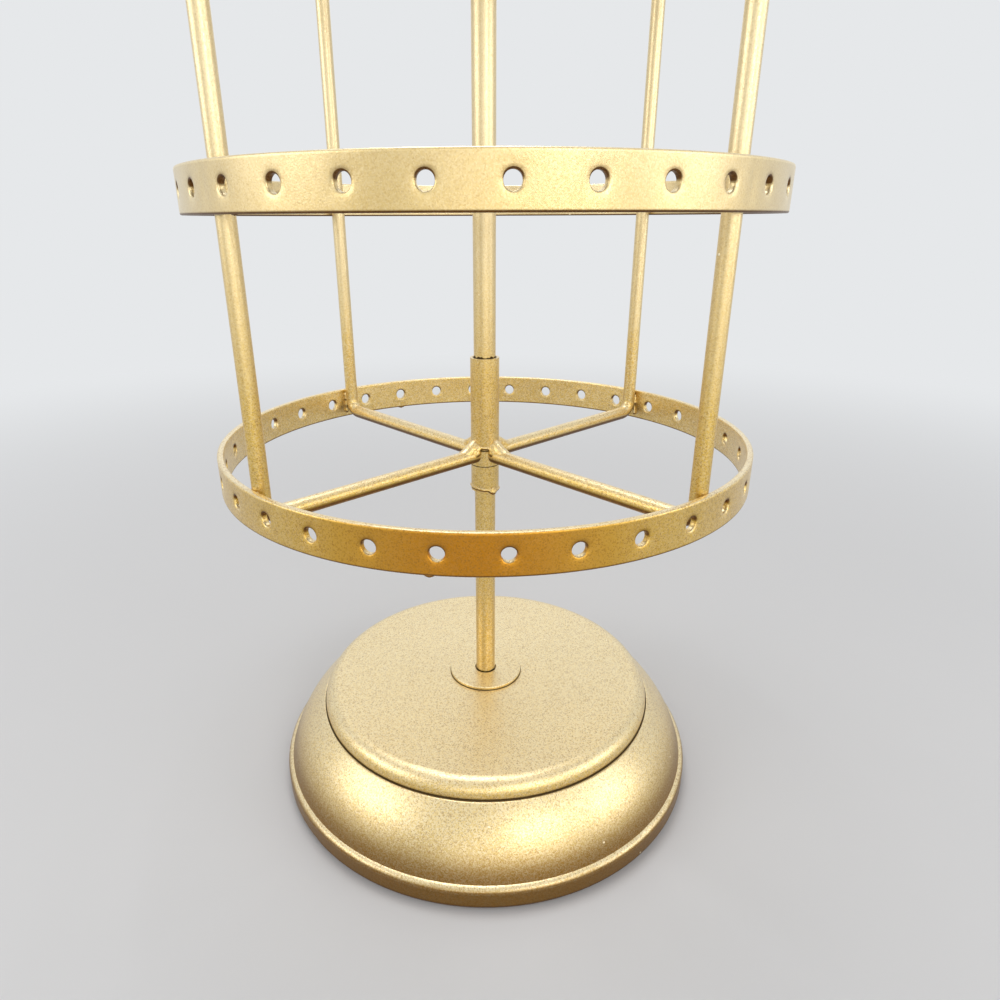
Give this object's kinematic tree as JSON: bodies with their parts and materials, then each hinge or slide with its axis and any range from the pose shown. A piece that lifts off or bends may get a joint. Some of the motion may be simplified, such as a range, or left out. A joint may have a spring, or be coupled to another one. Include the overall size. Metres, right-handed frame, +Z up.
{
  "type": "rotating earring stand",
  "caption": "Rotating earring stand: perforated hoops on bent rods that spin on a post over a round stepped base with a weighted, rubber-footed underside.",
  "frame": {"origin": "the point under the post on the surface that the stand rests on", "axes": "+Z up along the post, -Y towards the viewer, +X to the right"},
  "size_m": [0.18, 0.18, 0.3236],
  "materials": {
    "gold_lacquer": "fine metallic champagne-gold lacquer",
    "zinc_steel": "bright zinc plate",
    "black_iron": "black primer on rough iron",
    "black_plastic": "fine-grained matte",
    "black_rubber": "matte"
  },
  "bodies": {
    "stand": {"base_skirt": "gold_lacquer", "top_plate": "gold_lacquer", "flange_washer": "gold_lacquer", "ballast_plate": "black_iron", "bottom_cover": "black_plastic", "foot_1": "black_rubber", "foot_2": "black_rubber", "foot_3": "black_rubber", "foot_4": "black_rubber", "post": "gold_lacquer", "stop_collar": "gold_lacquer", "nut_washer": "zinc_steel", "spring_washer": "zinc_steel", "post_nut": "zinc_steel", "top_washer": "gold_lacquer", "finial": "gold_lacquer"},
    "cage": {"lower_hub": "gold_lacquer", "upper_hub": "gold_lacquer", "hoop_lower": "gold_lacquer", "hoop_middle": "gold_lacquer", "hoop_upper": "gold_lacquer", "rod_front_left": "gold_lacquer", "rod_front_right": "gold_lacquer", "rod_back_left": "gold_lacquer", "rod_back_right": "gold_lacquer"}
  },
  "joints": [
    {"name": "cage_spin", "type": "hinge", "parent": "stand", "child": "cage", "pos_m": [0, 0, 0.2143], "axis": [0, 0, 1], "continuous": true}
  ]
}
